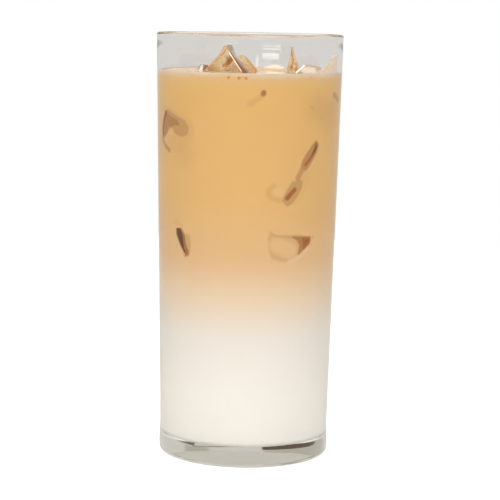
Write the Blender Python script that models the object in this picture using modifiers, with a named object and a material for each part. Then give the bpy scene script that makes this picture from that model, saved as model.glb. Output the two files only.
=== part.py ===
"""Iced latte in a highball glass: the glass, two layers of drink and the ice that breaks the surface.

Units are metres, +Z is up, and the origin is the centre of the foot on the table. +X is to the
viewer's right and +Y points away from the viewer. Run with blender --background --python part.py.
"""

import math
import random
from dataclasses import dataclass

import bmesh
import bpy
from mathutils import Vector

# The glass: a plain highball tumbler with a slight taper and a heavy foot that swells a little
GLASS_HEIGHT = 0.1500
RIM_RADIUS = 0.0330
FOOT_RADIUS = 0.0300
FOOT_SWELL = 0.0004
FOOT_SWELL_HEIGHT = 0.0032
FOOT_SWELL_SPREAD = 0.0040
RIM_WALL = 0.0016
FOOT_WALL = 0.0022
FLOOR_HEIGHT = 0.0072
HEEL_RADIUS = 0.0018
FLOOR_CORNER_RADIUS = 0.0015
UNDERSIDE_HOLLOW_RADIUS = 0.0220
UNDERSIDE_HOLLOW_DEPTH = 0.0009
TURNED_STEPS = 72

# The drink: milk below, coffee above, filled to within 14 mm of the rim
DRINK_LEVEL = 0.1361
MILK_LEVEL = 0.0600
MENISCUS_HEIGHT = 0.0009
MENISCUS_WIDTH = 0.0020
FIT_GAP = 0.0003

# Half-melted ice: its corners wander a little, and its edges are round
ICE_EDGE_SEGMENTS = 3
ICE_UNEVENNESS = 0.0005
ICE_SEED = 11


@dataclass
class Lump:
    """One lump of ice that breaks the surface, tilted in degrees about X, Y and Z."""

    name: str
    size: tuple
    centre: tuple
    tilt: tuple
    top_share: tuple
    edge_radius: float


# top_share is how wide the top is against the foot, along X and Y: 1 is a plain block
ICE_LUMPS = [
    Lump("ice_peak", (0.0190, 0.0118, 0.0190), (-0.0075, 0.0068, 0.1304), (3, 47, -6), (1.15, 1), 0.0008),
    Lump("ice_behind", (0.0115, 0.009, 0.0115), (-0.0031, 0.0206, 0.1345), (2, 46, 3), (1, 1), 0.0024),
    Lump("ice_left_chip", (0.008, 0.006, 0.012), (-0.0161, 0.0196, 0.1317), (0, 20, 30), (0.85, 0.9), 0.001),
    Lump("ice_shard", (0.0114, 0.012, 0.018), (0.0162, 0.0130, 0.1343), (0, -7, -6), (0.08, 0.4), 0.0012),
    Lump("ice_right_block", (0.0112, 0.011, 0.012), (0.0207, -0.0010, 0.1331), (3, 9, -12), (0.62, 0.9), 0.0014),
]

GLASS_COLOUR = (0.93, 0.96, 0.95, 1.0)
MILK_COLOUR = (0.93, 0.88, 0.79, 1.0)
COFFEE_COLOUR = (0.77, 0.45, 0.17, 1.0)
ICE_COLOUR = (0.92, 0.93, 0.92, 1.0)


def clear_scene():
    """Remove every object that the scene starts with."""
    for item in list(bpy.data.objects):
        bpy.data.objects.remove(item, do_unlink=True)


def new_collection(name, hidden=False):
    """Add a collection to the scene; a hidden one holds cutters."""
    collection = bpy.data.collections.new(name)
    collection.hide_render = hidden
    bpy.context.scene.collection.children.link(collection)
    return collection


def principled(name, colour, roughness, transmission=0.0, ior=1.45):
    """A Principled material with no metal in it."""
    material = bpy.data.materials.new(name)
    material.use_nodes = True
    shader = material.node_tree.nodes["Principled BSDF"]
    shader.inputs["Base Color"].default_value = colour
    shader.inputs["Roughness"].default_value = roughness
    shader.inputs["Metallic"].default_value = 0.0
    shader.inputs["Transmission Weight"].default_value = transmission
    shader.inputs["IOR"].default_value = ior
    return material


def arc(centre, radius, start_deg, end_deg, segments):
    """Points (r, z) along an arc, both ends included."""
    points = []
    for step in range(segments + 1):
        angle = math.radians(start_deg + (end_deg - start_deg) * step / segments)
        points.append((centre[0] + radius * math.cos(angle), centre[1] + radius * math.sin(angle)))
    return points


def tapered(at_foot, at_rim, height):
    """A size that changes evenly from the table to the rim."""
    return at_foot + (at_rim - at_foot) * height / GLASS_HEIGHT


def outer_radius(height):
    """The glass's outer radius at a height: a straight taper, and the swelling of the foot."""
    distance = (height - FOOT_SWELL_HEIGHT) / FOOT_SWELL_SPREAD
    return tapered(FOOT_RADIUS, RIM_RADIUS, height) + FOOT_SWELL * math.exp(-(distance**2))


def inner_radius(height):
    """The inner wall's radius at a height: the wall thins from the foot to the rim."""
    return tapered(FOOT_RADIUS - FOOT_WALL, RIM_RADIUS - RIM_WALL, height)


def glass_profile():
    """From the middle of the floor, up the inner wall, over the rim, down the outside and under."""
    lip = RIM_WALL / 2
    lip_height = GLASS_HEIGHT - lip
    corner_height = FLOOR_HEIGHT + FLOOR_CORNER_RADIUS
    corner = (inner_radius(corner_height) - FLOOR_CORNER_RADIUS, corner_height)
    profile = [(0.0, FLOOR_HEIGHT)]
    profile += arc(corner, FLOOR_CORNER_RADIUS, -90, 0, 6)
    profile += arc((RIM_RADIUS - lip, lip_height), lip, 180, 0, 8)
    for spreads in (2.4, 1.6, 1.1, 0.7, 0.35):
        height = FOOT_SWELL_HEIGHT + spreads * FOOT_SWELL_SPREAD
        profile.append((outer_radius(height), height))
    profile += arc((outer_radius(HEEL_RADIUS) - HEEL_RADIUS, HEEL_RADIUS), HEEL_RADIUS, 0, -90, 6)
    for share in (1.0, 0.93, 0.75, 0.5, 0.25):
        rise = UNDERSIDE_HOLLOW_DEPTH * (1 - share**2)
        profile.append((UNDERSIDE_HOLLOW_RADIUS * share, rise))
    profile.append((0.0, UNDERSIDE_HOLLOW_DEPTH))
    return profile


def milk_profile():
    """The lower layer, down its outer side: it fills the glass's rounded corner and rests on the floor."""
    top = MILK_LEVEL - FIT_GAP / 2
    radius = FLOOR_CORNER_RADIUS - FIT_GAP
    corner_height = FLOOR_HEIGHT + FLOOR_CORNER_RADIUS
    corner = (inner_radius(corner_height) - FLOOR_CORNER_RADIUS, corner_height)
    profile = [(0.0, top), (inner_radius(top) - FIT_GAP, top)]
    profile += arc(corner, radius, 0, -90, 6)
    profile.append((0.0, corner_height - radius))
    return profile


def coffee_profile():
    """The upper layer, with the surface drawn up a little where it wets the glass."""
    bottom = MILK_LEVEL + FIT_GAP / 2
    edge_height = DRINK_LEVEL + MENISCUS_HEIGHT
    edge_radius = inner_radius(edge_height) - FIT_GAP
    profile = [(0.0, DRINK_LEVEL)]
    for share in (0.0, 0.35, 0.6, 0.8, 0.93, 1.0):
        radius = edge_radius - MENISCUS_WIDTH * (1 - share)
        profile.append((radius, DRINK_LEVEL + MENISCUS_HEIGHT * share**3))
    profile.append((inner_radius(bottom) - FIT_GAP, bottom))
    profile.append((0.0, bottom))
    return profile


def turned(name, profile, collection, material):
    """A solid of revolution: the profile as a line of edges with a Screw modifier."""
    mesh = bpy.data.meshes.new(name)
    points = [(radius, 0.0, height) for radius, height in profile]
    mesh.from_pydata(points, [(i, i + 1) for i in range(len(points) - 1)], [])
    item = bpy.data.objects.new(name, mesh)
    collection.objects.link(item)
    mesh.materials.append(material)
    screw = item.modifiers.new("Turn", "SCREW")
    screw.steps = TURNED_STEPS
    screw.render_steps = TURNED_STEPS
    screw.use_merge_vertices = True
    screw.merge_threshold = 0.00005
    screw.use_smooth_shade = True
    return item


def ice_mesh(name, lump, seed, grow):
    """A block with uneven corners, its top narrowed and its edges melted round."""
    form = bmesh.new()
    bmesh.ops.create_cube(form, size=1.0)
    unevenness = random.Random(seed)
    for corner in form.verts:
        corner.co = Vector(corner.co[axis] * lump.size[axis] for axis in range(3))
        if corner.co.z > 0:
            corner.co.x *= lump.top_share[0]
            corner.co.y *= lump.top_share[1]
        corner.co += Vector(unevenness.uniform(-ICE_UNEVENNESS, ICE_UNEVENNESS) for _ in range(3))
    bmesh.ops.bevel(
        form,
        geom=form.edges[:],
        offset=lump.edge_radius,
        segments=ICE_EDGE_SEGMENTS,
        profile=0.5,
        affect="EDGES",
        clamp_overlap=True,
    )
    bmesh.ops.triangulate(form, faces=form.faces[:])
    form.normal_update()
    for point, normal in [(corner, corner.normal.copy()) for corner in form.verts]:
        point.co += normal * grow
    mesh = bpy.data.meshes.new(name)
    form.to_mesh(mesh)
    form.free()
    mesh.shade_smooth()
    mesh.set_sharp_from_angle(angle=math.radians(40))
    return mesh


def place_ice(name, lump, collection, material, seed, grow=0.0):
    """Place a lump, or the socket that it leaves in the drink when it is grown by the fit gap."""
    item = bpy.data.objects.new(name, ice_mesh(name, lump, seed, grow))
    item.location = lump.centre
    item.rotation_euler = [math.radians(angle) for angle in lump.tilt]
    item.data.materials.append(material)
    collection.objects.link(item)
    return item


def cut_sockets(drink, cutters):
    """Take the ice's room out of the drink, so that the drink closes round each lump."""
    cut = drink.modifiers.new("Ice sockets", "BOOLEAN")
    cut.operation = "DIFFERENCE"
    cut.operand_type = "COLLECTION"
    cut.collection = cutters
    cut.solver = "EXACT"


def main():
    """Build the glass, the drink's two layers and the ice."""
    clear_scene()
    latte = new_collection("iced_latte")
    sockets = new_collection("ice_sockets", hidden=True)

    clear_glass = principled("soda lime glass", GLASS_COLOUR, 0.0, transmission=1.0, ior=1.52)
    milk = principled("cold milk", MILK_COLOUR, 0.25, ior=1.35)
    coffee = principled("milky coffee", COFFEE_COLOUR, 0.2, ior=1.34)
    ice = principled("clear ice", ICE_COLOUR, 0.03, transmission=1.0, ior=1.31)

    turned("glass", glass_profile(), latte, clear_glass)
    turned("milk_layer", milk_profile(), latte, milk)
    coffee_layer = turned("coffee_layer", coffee_profile(), latte, coffee)
    for seed, lump in enumerate(ICE_LUMPS, start=ICE_SEED):
        place_ice(lump.name, lump, latte, ice, seed)
        socket = place_ice("socket_" + lump.name, lump, sockets, coffee, seed, grow=FIT_GAP)
        socket.hide_render = True
        socket.display_type = "WIRE"
    cut_sockets(coffee_layer, sockets)


main()
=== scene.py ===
"""Dresses the packed iced latte: a highball glass, milk that fades into coffee, and half-melted ice.

Everything is in metres in the part's own frame: +Z is up, +X is to the viewer's right and +Y points
away from the viewer. A bearing is an angle round the glass in degrees: 0 faces the viewer, and it
grows to the viewer's right.
"""

import logging
import math
from contextlib import contextmanager
from dataclasses import dataclass, field
from enum import Enum
from typing import Iterator

import bpy
import numpy as np
from mathutils import Euler, Matrix, Vector


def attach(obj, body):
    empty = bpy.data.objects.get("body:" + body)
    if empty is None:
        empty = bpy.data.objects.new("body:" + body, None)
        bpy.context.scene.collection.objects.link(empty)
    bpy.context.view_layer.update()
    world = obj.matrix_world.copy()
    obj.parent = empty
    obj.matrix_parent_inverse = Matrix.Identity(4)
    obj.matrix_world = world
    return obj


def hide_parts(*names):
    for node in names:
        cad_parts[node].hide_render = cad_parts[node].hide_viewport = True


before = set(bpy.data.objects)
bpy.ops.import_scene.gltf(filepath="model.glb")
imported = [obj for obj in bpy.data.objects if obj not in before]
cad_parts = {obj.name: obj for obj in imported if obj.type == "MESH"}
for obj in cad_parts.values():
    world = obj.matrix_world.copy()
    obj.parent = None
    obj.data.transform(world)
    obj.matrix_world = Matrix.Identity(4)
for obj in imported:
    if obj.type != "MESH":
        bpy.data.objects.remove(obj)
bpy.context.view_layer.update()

BODY = "root"
MM = 0.001
FAR_MM = 1000.0
NOISE_LOW, NOISE_HIGH = 0.3, 0.7  # between these lies nearly all of a noise pattern
FILM_REACH = 0.00015  # how far the drink reaches into glass and ice, so that no air shows between them
SIDE_FADE = 5  # a pane of the surroundings fades this many times as far at its sides as above and below
EDGE_DEG = 40.0  # a sharper edge than this stays an edge when a turned form is shaded smooth
LOG = logging.getLogger("iced_latte")

Profile = list[tuple[float, float]]
Socket = bpy.types.NodeSocket
Tree = bpy.types.NodeTree


class Slot(Enum):
    """The record's material slots, one for each kind of piece."""

    GLASS = "clear_glass"
    COFFEE = "milky_coffee"
    ICE = "clear_ice"


def linear(hex_colour: str) -> tuple[float, float, float, float]:
    """Turn an sRGB hex colour into the linear colour that shaders take.

    Args:
        hex_colour: Six hex digits after a hash sign.

    Returns:
        Red, green, blue and an alpha of 1.
    """
    channels = []
    for start in (1, 3, 5):
        value = int(hex_colour[start:start + 2], 16) / 255
        channels.append(value / 12.92 if value <= 0.04045 else ((value + 0.055) / 1.055) ** 2.4)
    return (*channels, 1.0)


def smooth_step(share: np.ndarray) -> np.ndarray:
    """Ease a share from 0 to 1, and hold it there on both sides."""
    held = np.clip(share, 0.0, 1.0)
    return held * held * (3.0 - 2.0 * held)


def add_node(
    tree: Tree, kind: str, settings: dict | None = None, links: dict | None = None, output: int | str = 0
) -> Socket | None:
    """Add a node with its settings and its inputs.

    Args:
        tree: The node tree that the node joins.
        kind: The node's type name after its first word, ShaderNode.
        settings: The node's own settings; "stops" holds a colour ramp's places and colours.
        links: For each input, the output socket that feeds it or the value that it is set to.
        output: Which of its output sockets is wanted.

    Returns:
        That output socket, or nothing for a node that ends its tree.
    """
    node = tree.nodes.new("ShaderNode" + kind)
    for name, value in (settings or {}).items():
        if name != "stops":
            setattr(node, name, value)
            continue
        ramp = node.color_ramp.elements
        while len(ramp) < len(value):
            ramp.new(1.0)
        for stop, (place, colour) in zip(ramp, value):
            stop.position = place
            stop.color = linear(colour)
    for name, value in (links or {}).items():
        if isinstance(value, Socket):
            tree.links.new(value, node.inputs[name])
        else:
            node.inputs[name].default_value = value
    return node.outputs[output] if node.outputs else None


def new_material(name: str) -> tuple[bpy.types.Material, Tree]:
    """Start a material with no nodes in it.

    Args:
        name: What the real material is.

    Returns:
        The material and its empty node tree.
    """
    material = bpy.data.materials.new(name)
    material.use_nodes = True
    material.node_tree.nodes.clear()
    return material, material.node_tree


def deselect_all() -> None:
    """Leave nothing selected, so that an operator acts on what comes next alone."""
    bpy.ops.object.select_all(action="DESELECT")


def pick(*items: bpy.types.Object) -> None:
    """Select these objects alone and make the first the active one.

    Args:
        *items: The objects.
    """
    deselect_all()
    for item in items:
        item.select_set(True)
    bpy.context.view_layer.objects.active = items[0]


@contextmanager
def editing(item: bpy.types.Object, mode: str | None = None) -> Iterator[None]:
    """Work on one object in edit mode, and come back to object mode.

    Args:
        item: The object.
        mode: What is selected there, EDGE or FACE; if it isn't given, it stays as it was.

    Yields:
        Nothing; the work is done inside.
    """
    pick(item)
    bpy.ops.object.mode_set(mode="EDIT")
    if mode:
        bpy.ops.mesh.select_mode(type=mode)
    try:
        yield
    finally:
        bpy.ops.object.mode_set(mode="OBJECT")


def select_faces(item: bpy.types.Object, chosen: list[bool] | np.ndarray) -> None:
    """Select faces of an object before edit mode is entered.

    Args:
        item: The object.
        chosen: For each face, whether it is selected.
    """
    mesh = item.data
    mesh.vertices.foreach_set("select", [False] * len(mesh.vertices))
    mesh.edges.foreach_set("select", [False] * len(mesh.edges))
    mesh.polygons.foreach_set("select", chosen)
    mesh.update()


def read_mm(items: bpy.types.bpy_prop_collection, name: str) -> np.ndarray:
    """Read where a mesh's points or faces lie.

    Args:
        items: The mesh's points or faces.
        name: "co" for points, "center" for faces.

    Returns:
        Rows of x, y and z in millimetres.
    """
    values = np.empty(len(items) * 3)
    items.foreach_get(name, values)
    return values.reshape(-1, 3) / MM


def unroll(points: np.ndarray, radius: float) -> tuple[np.ndarray, np.ndarray, float]:
    """Lay a wall out flat.

    Args:
        points: Rows of x, y and z in millimetres.
        radius: The wall's radius in metres.

    Returns:
        Lengths round the wall and heights in millimetres, and what a degree of bearing measures there.
    """
    radius_mm = radius / MM
    return np.arctan2(points[:, 0], -points[:, 1]) * radius_mm, points[:, 2], math.radians(1) * radius_mm


def write_values(item: bpy.types.Object, name: str, values: np.ndarray) -> None:
    """Write a value for each point into the mesh, for a material to read."""
    item.data.attributes.new(name, "FLOAT", "POINT").data.foreach_set("value", values)


def apply_modifier(item: bpy.types.Object, kind: str, **settings: object) -> None:
    """Add a modifier with its settings and apply it.

    Args:
        item: The object that is changed.
        kind: The modifier's type.
        **settings: The modifier's settings.
    """
    modifier = item.modifiers.new(kind.title(), kind)
    for name, value in settings.items():
        setattr(modifier, name, value)
    pick(item)
    bpy.ops.object.modifier_apply(modifier=modifier.name)


def arc(centre: tuple[float, float], radius: float, start_deg: float, end_deg: float, steps: int) -> Profile:
    """Points along an arc of a profile, both ends included.

    Args:
        centre: The arc's centre as a radius from the axis and a height.
        radius: The arc's own radius.
        start_deg: The angle that it starts at; 0 points outward and 90 up.
        end_deg: The angle that it ends at.
        steps: How many straight steps it has.

    Returns:
        The points as radii from the axis and heights.
    """
    points = []
    for step in range(steps + 1):
        angle = math.radians(start_deg + (end_deg - start_deg) * step / steps)
        points.append((centre[0] + radius * math.cos(angle), centre[1] + radius * math.sin(angle)))
    return points


def between(start: float, end: float, steps: int) -> list[float]:
    """Evenly spaced values from one to another, without the first."""
    return [start + (end - start) * step / steps for step in range(1, steps + 1)]


def turned(name: str, profile: Profile, segments: int, closed: bool = True) -> bpy.types.Object:
    """Turn a form as on a wheel: each ring is extruded from the last and scaled to its radius.

    Args:
        name: The new object's name.
        profile: Radii and heights of the rings.
        segments: How many straight sides a ring has.
        closed: Whether the first and last ring are closed at the axis; if not, the form is a sleeve.

    Returns:
        The new object, with its faces pointing out.
    """
    deselect_all()
    radius, height = profile[0]
    bpy.ops.mesh.primitive_circle_add(
        vertices=segments, radius=radius, fill_type="TRIFAN" if closed else "NOTHING", location=(0, 0, height)
    )
    item = bpy.context.object
    item.name = item.data.name = name
    bpy.ops.object.transform_apply(location=True, rotation=False, scale=False)
    with editing(item, "EDGE"):
        bpy.ops.mesh.select_all(action="SELECT")
        if closed:
            bpy.ops.mesh.region_to_loop()
        for next_radius, next_height in profile[1:]:
            bpy.ops.mesh.extrude_region_move(TRANSFORM_OT_translate={"value": (0, 0, next_height - height)})
            share = next_radius / radius
            bpy.ops.transform.resize(value=(share, share, 1), center_override=(0, 0, next_height))
            radius, height = next_radius, next_height
        if closed:
            bpy.ops.mesh.extrude_region_move(TRANSFORM_OT_translate={"value": (0, 0, 0)})
            bpy.ops.mesh.merge(type="CENTER")
        bpy.ops.mesh.select_all(action="SELECT")
        bpy.ops.mesh.normals_make_consistent(inside=False)
    return item


def finish_piece(item: bpy.types.Object, slot: Slot, *nodes: str, edge_deg: float | None = None) -> None:
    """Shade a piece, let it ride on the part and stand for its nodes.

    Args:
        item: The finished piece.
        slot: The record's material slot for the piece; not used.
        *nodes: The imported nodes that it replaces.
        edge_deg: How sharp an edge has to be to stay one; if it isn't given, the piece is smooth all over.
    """
    pick(item)
    if edge_deg is None:
        bpy.ops.object.shade_smooth()
    else:
        bpy.ops.object.shade_smooth_by_angle(angle=math.radians(edge_deg))
    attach(item, BODY)
    if nodes:
        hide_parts(*nodes)
    LOG.info("%s: %d faces, stands for %s", item.name, len(item.data.polygons), ", ".join(nodes) or "nothing")


@dataclass(frozen=True)
class SodaLimeGlass:
    """Pressed and fire-polished soda-lime glass: clear on edge, with the faintest waves in its skin."""

    name: str = "soda lime glass, fire polished"
    ior: float = 1.5
    wave_mm: float = 18.0
    wave_depth_mm: float = 0.02
    roughness: float = 0.0
    tint: str = "#FFFFFF"

    def material(self) -> bpy.types.Material:
        """Clear glass that bends what is behind it a little unevenly.

        Returns:
            The material.
        """
        material, tree = new_material(self.name)
        place = add_node(tree, "TexCoord", output="Object")
        waves = add_node(tree, "TexNoise", links={
            "Vector": place, "Scale": 1 / (self.wave_mm * MM), "Detail": 1.0,
        })
        bump = add_node(tree, "Bump", links={
            "Height": waves, "Distance": self.wave_depth_mm * MM, "Strength": 1.0,
        })
        skin = add_node(tree, "BsdfPrincipled", links={
            "Base Color": linear(self.tint), "Roughness": self.roughness, "IOR": self.ior,
            "Transmission Weight": 1.0, "Normal": bump,
        })
        add_node(tree, "OutputMaterial", links={"Surface": skin})
        return material


@dataclass(frozen=True)
class LattePalette:
    """The drink's colours at the front of the glass: coffee fades into milk, and the shade of ice against the glass is
    painted over both.
    """

    surface: str = "#E8D5C0"
    under_surface: str = "#E7C288"
    coffee: str = "#E8C07A"
    low_coffee: str = "#E8C17F"
    first_milk: str = "#E7C391"
    half_milk: str = "#EDD9BD"
    thin_coffee: str = "#F0EAE2"
    milk: str = "#F7F3EC"
    under_milk: str = "#F4F2EA"
    # Painted shade of the ice that leans on the glass, from faint to darkest, then a paler tone
    shaded_ice_tan: str = "#C99F67"
    shaded_ice_brown: str = "#AA6930"
    shaded_ice_dark: str = "#5A4426"
    ice_pale: str = "#E8D2B8"

    def by_height(self) -> list[tuple[float, str]]:
        """The gradient's stops: heights in millimetres and their colours, from the foot up."""
        return [
            (8.0, self.under_milk), (12.0, self.milk), (24.0, self.milk), (45.4, self.thin_coffee),
            (59.4, self.half_milk), (73.0, self.first_milk), (94.0, self.low_coffee), (131.5, self.coffee),
            (135.2, self.under_surface), (136.8, self.surface),
        ]

    def shade_of_ice_stops(self) -> list[tuple[float, str]]:
        """The painted shade of ice against the glass, from faint to dark."""
        return [(0.0, self.shaded_ice_tan), (0.45, self.shaded_ice_tan), (0.75, self.shaded_ice_brown), (1.0, self.shaded_ice_dark)]


@dataclass(frozen=True)
class MilkyDrink:
    """Milk and coffee: opaque and soft, tan above and white below, with clouds where they meet."""

    name: str
    roughness: float
    specular: float
    palette: LattePalette = LattePalette()
    ior: float = 1.34
    cloud_mm: float = 14.0
    cloud_shift_mm: float = 1.0
    top_mm: float = 140.0
    full_cover: float = 0.5

    def material(self) -> bpy.types.Material:
        """The gradient by height, wavering a little, with the painted shade of the ice against the glass.

        Returns:
            The material.
        """
        material, tree = new_material(self.name)
        place = add_node(tree, "TexCoord", output="Object")
        height = add_node(tree, "SeparateXYZ", links={"Vector": place}, output="Z")
        clouds = add_node(tree, "TexNoise", links={
            "Vector": place, "Scale": 1 / (self.cloud_mm * MM), "Detail": 2.0,
        })
        shift = self.cloud_shift_mm * MM
        wander = add_node(tree, "Math", {"operation": "MULTIPLY_ADD"}, {0: clouds, 1: 2 * shift, 2: -shift})
        level = add_node(tree, "Math", {"operation": "ADD"}, {0: height, 1: wander})
        share = add_node(tree, "Math", {"operation": "DIVIDE"}, {0: level, 1: self.top_mm * MM})
        stops = [(mm / self.top_mm, colour) for mm, colour in self.palette.by_height()]
        drink = add_node(tree, "ValToRGB", {"stops": stops}, {"Fac": share})
        # Painted shade where ice leans on the glass, read from the mesh; below 0 it is paler instead
        shade = add_node(tree, "Attribute", {"attribute_name": "ice_shade"}, output="Fac")
        shaded_ice_colour = add_node(tree, "ValToRGB", {"stops": self.palette.shade_of_ice_stops()}, {"Fac": shade})
        cover = add_node(tree, "MapRange", {"interpolation_type": "SMOOTHSTEP"}, {
            "Value": shade, "From Min": 0.0, "From Max": self.full_cover,
        })
        paleness = add_node(tree, "MapRange", links={"Value": shade, "From Min": 0.0, "From Max": -1.0})
        darker = add_node(tree, "Mix", {"data_type": "RGBA"}, {0: cover, 6: drink, 7: shaded_ice_colour}, output=2)
        paler = add_node(tree, "Mix", {"data_type": "RGBA"}, {
            0: paleness, 6: darker, 7: linear(self.palette.ice_pale),
        }, output=2)
        skin = add_node(tree, "BsdfPrincipled", links={
            "Base Color": paler, "Roughness": self.roughness, "IOR": self.ior,
            "Specular IOR Level": self.specular,
        })
        add_node(tree, "OutputMaterial", links={"Surface": skin})
        return material


@dataclass(frozen=True)
class WetIce:
    """Clear ice, melted smooth; its tan and brown are coffee film in part and a painted refraction of the drink in
    part.
    """

    name: str = "clear ice, with coffee and painted refraction"
    ior: float = 1.31
    roughness: float = 0.02
    specular: float = 0.3
    streak_mm: float = 2.4
    streak_bends: float = 0.8
    streak_thinnest: float = 0.65
    streak_thickest: float = 1.3
    clear_below: float = 0.1
    dull_above: float = 0.9
    dullest: float = 0.15
    clear: str = "#FFFBF0"
    # Film tints: coffee in part, and in part the drink's colour painted on where the ice would bend it into view
    thin_film: str = "#DAB87C"
    film: str = "#A0671F"
    thick_film: str = "#73430B"
    # White that a film below 0 paints: the painted highlight beside the peak's edge, and white patches on the chip and
    # the block
    whiteness: str = "#FFFBF4"

    def material(self) -> bpy.types.Material:
        """Refracting ice whose tint and clearness follow the painted film in fine streaks: coffee, and the drink's
        refraction painted on.

        Returns:
            The material.
        """
        material, tree = new_material(self.name)
        place = add_node(tree, "TexCoord", output="Object")
        streaks = add_node(tree, "TexNoise", links={
            "Vector": place, "Scale": 1 / (self.streak_mm * MM), "Detail": 2.0, "Distortion": self.streak_bends,
        })
        painted = add_node(tree, "Attribute", {"attribute_name": "coffee_film"}, output="Fac")
        unevenness = add_node(tree, "MapRange", links={
            "Value": streaks, "From Min": NOISE_LOW, "From Max": NOISE_HIGH,
            "To Min": self.streak_thinnest, "To Max": self.streak_thickest,
        })
        film = add_node(tree, "Math", {"operation": "MULTIPLY", "use_clamp": True}, {0: painted, 1: unevenness})
        tint = add_node(tree, "ValToRGB", {"stops": [
            (0.04, self.clear), (0.35, self.thin_film), (0.75, self.film), (1.0, self.thick_film),
        ]}, {"Fac": film})
        # Below 0 the film turns white and less clear, for the painted highlight on the peak and the white patches
        whiteness = add_node(tree, "MapRange", links={"Value": painted, "From Min": 0.0, "From Max": -1.0})
        colour = add_node(tree, "Mix", {"data_type": "RGBA"}, {0: whiteness, 6: tint, 7: linear(self.whiteness)}, output=2)
        under_film = add_node(tree, "MapRange", links={
            "Value": film, "From Min": self.clear_below, "From Max": self.dull_above,
            "To Min": 1.0, "To Max": self.dullest,
        })
        clearness = add_node(tree, "Math", {"operation": "SUBTRACT", "use_clamp": True}, {0: under_film, 1: whiteness})
        skin = add_node(tree, "BsdfPrincipled", links={
            "Base Color": colour, "Roughness": self.roughness, "IOR": self.ior,
            "Transmission Weight": clearness, "Specular IOR Level": self.specular,
        })
        add_node(tree, "OutputMaterial", links={"Surface": skin})
        return material


@dataclass(frozen=True)
class DriedFilm:
    """Milky coffee that ran down the glass and left a thin veil: see-through at its edge, tan in its body."""

    name: str = "thin film of latte on glass"
    thin: str = "#FFF8EC"
    thick: str = "#FFEACB"
    streak_mm: float = 1.6
    densest: float = 0.92
    thinned_to: float = 0.75
    roughness: float = 0.5
    specular: float = 0.2

    def material(self) -> bpy.types.Material:
        """A matt veil whose cover is written into the mesh and broken up by fine streaks.

        Returns:
            The material.
        """
        material, tree = new_material(self.name)
        place = add_node(tree, "TexCoord", output="Object")
        streaks = add_node(tree, "TexNoise", links={
            "Vector": place, "Scale": 1 / (self.streak_mm * MM), "Detail": 2.0,
        })
        cover = add_node(tree, "Attribute", {"attribute_name": "veil"}, output="Fac")
        density = add_node(tree, "MapRange", links={
            "Value": streaks, "From Min": NOISE_LOW, "From Max": NOISE_HIGH,
            "To Min": self.thinned_to * self.densest, "To Max": self.densest,
        })
        alpha = add_node(tree, "Math", {"operation": "MULTIPLY", "use_clamp": True}, {0: cover, 1: density})
        tint = add_node(tree, "Mix", {"data_type": "RGBA"}, {
            0: cover, 6: linear(self.thin), 7: linear(self.thick),
        }, output=2)
        skin = add_node(tree, "BsdfPrincipled", links={
            "Base Color": tint, "Roughness": self.roughness, "Specular IOR Level": self.specular, "Alpha": alpha,
        })
        add_node(tree, "OutputMaterial", links={"Surface": skin})
        return material


@dataclass(frozen=True)
class PatchySkin:
    """A skin of two shades in small patches, glossy or matt."""

    name: str
    patch_mm: float
    first: tuple[float, str]
    second: tuple[float, str]
    gloss: tuple[tuple[str, float], ...]

    def material(self) -> bpy.types.Material:
        """The two shades, one over into the other by the pattern.

        Returns:
            The material.
        """
        material, tree = new_material(self.name)
        place = add_node(tree, "TexCoord", output="Object")
        patches = add_node(tree, "TexNoise", links={"Vector": place, "Scale": 1 / (self.patch_mm * MM)})
        tint = add_node(tree, "ValToRGB", {"stops": [self.first, self.second]}, {"Fac": patches})
        skin = add_node(tree, "BsdfPrincipled", links={"Base Color": tint, **dict(self.gloss)})
        add_node(tree, "OutputMaterial", links={"Surface": skin})
        return material


# Glossy amber where coffee gathers in a bubble's skin, and paler where it is thin
BUBBLE_SKIN = PatchySkin(
    "bubble skin with coffee", 0.6, (0.4, "#E2A257"), (0.6, "#D08C3E"), (("Roughness", 0.15), ("IOR", 1.33))
)

# Painted highlights: matt, bright white for the wedges in the ice's edges, cream in its grain
PAINTED_HIGHLIGHT_WHITE = PatchySkin(
    "white of painted highlights", 0.5, (0.35, "#F3E9DA"), (0.6, "#FFFCF6"), (("Roughness", 0.6), ("Specular IOR Level", 0.3))
)


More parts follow.
